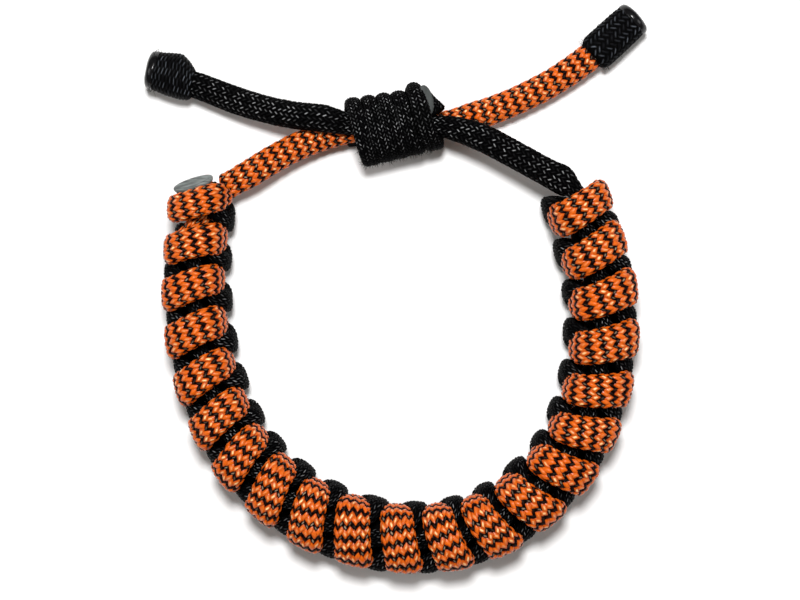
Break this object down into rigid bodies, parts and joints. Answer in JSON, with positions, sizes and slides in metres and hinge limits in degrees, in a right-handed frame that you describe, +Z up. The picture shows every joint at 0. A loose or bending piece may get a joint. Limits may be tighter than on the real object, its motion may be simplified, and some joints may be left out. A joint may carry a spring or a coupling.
{
  "type": "rope bracelet",
  "caption": "Adjustable rope bracelet: two nylon cords braided into a C-shaped band, their loose ends crossing in a wrapped sliding knot, with a sleeve on each tail.",
  "frame": {"origin": "on the surface that the bracelet lies on, under the middle of the braided band and its sliding knot", "axes": "+X across the wrist opening towards the side where the black cord leaves the braid, +Y from the braid towards the sliding knot, +Z up"},
  "size_m": [0.0833, 0.0943, 0.013],
  "materials": {
    "orange_cord": "orange and black zigzag sheath of braided nylon",
    "black_cord": "black sheath of braided nylon",
    "melted_end": "cut and melted nylon",
    "black_sleeve": "black braided nylon, stretched over the tail and melted shut at its tip"
  },
  "bodies": {
    "root": {"orange_strand": "orange_cord", "black_strand": "black_cord", "orange_tail": "orange_cord", "black_tail": "black_cord", "slide_knot": "black_cord", "knot_cut_end": "melted_end", "braid_cut_end": "melted_end", "orange_sleeve": "black_sleeve", "black_sleeve": "black_sleeve"}
  },
  "joints": []
}
